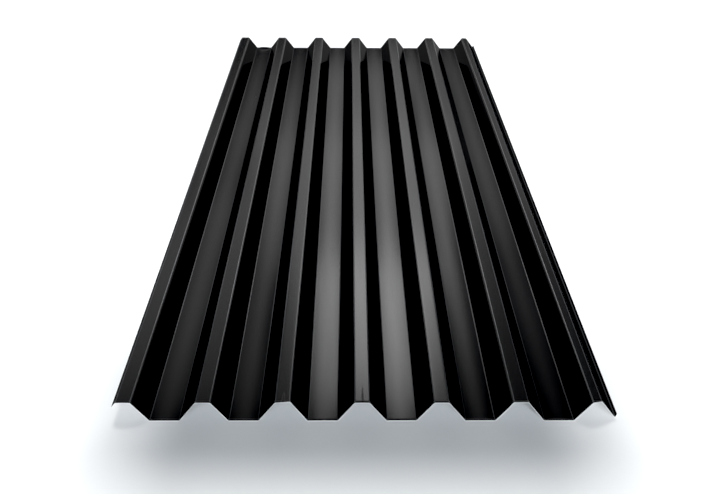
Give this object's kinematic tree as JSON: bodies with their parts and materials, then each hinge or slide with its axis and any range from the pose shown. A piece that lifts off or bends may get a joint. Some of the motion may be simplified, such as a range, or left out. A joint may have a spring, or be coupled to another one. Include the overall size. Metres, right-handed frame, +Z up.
{
  "type": "trapezoidal profiled steel sheet",
  "caption": "Long roll-formed steel sheet with narrow flat-topped ribs over wide valleys, an overlap lip on one side edge and a narrow underlap rib on the other, for roofs and walls.",
  "frame": {"origin": "middle of the footprint, at the level that the valleys rest on", "axes": "+X across the ribs, from the overlap edge to the underlap edge; +Y along the ribs, away from the picture's camera; +Z up, out of the weather face"},
  "size_m": [0.797, 2, 0.0355],
  "materials": {
    "coated_steel": "semi-gloss black coil coating on galvanised steel"
  },
  "bodies": {
    "root": {"profiled_sheet": "coated_steel"}
  },
  "joints": []
}
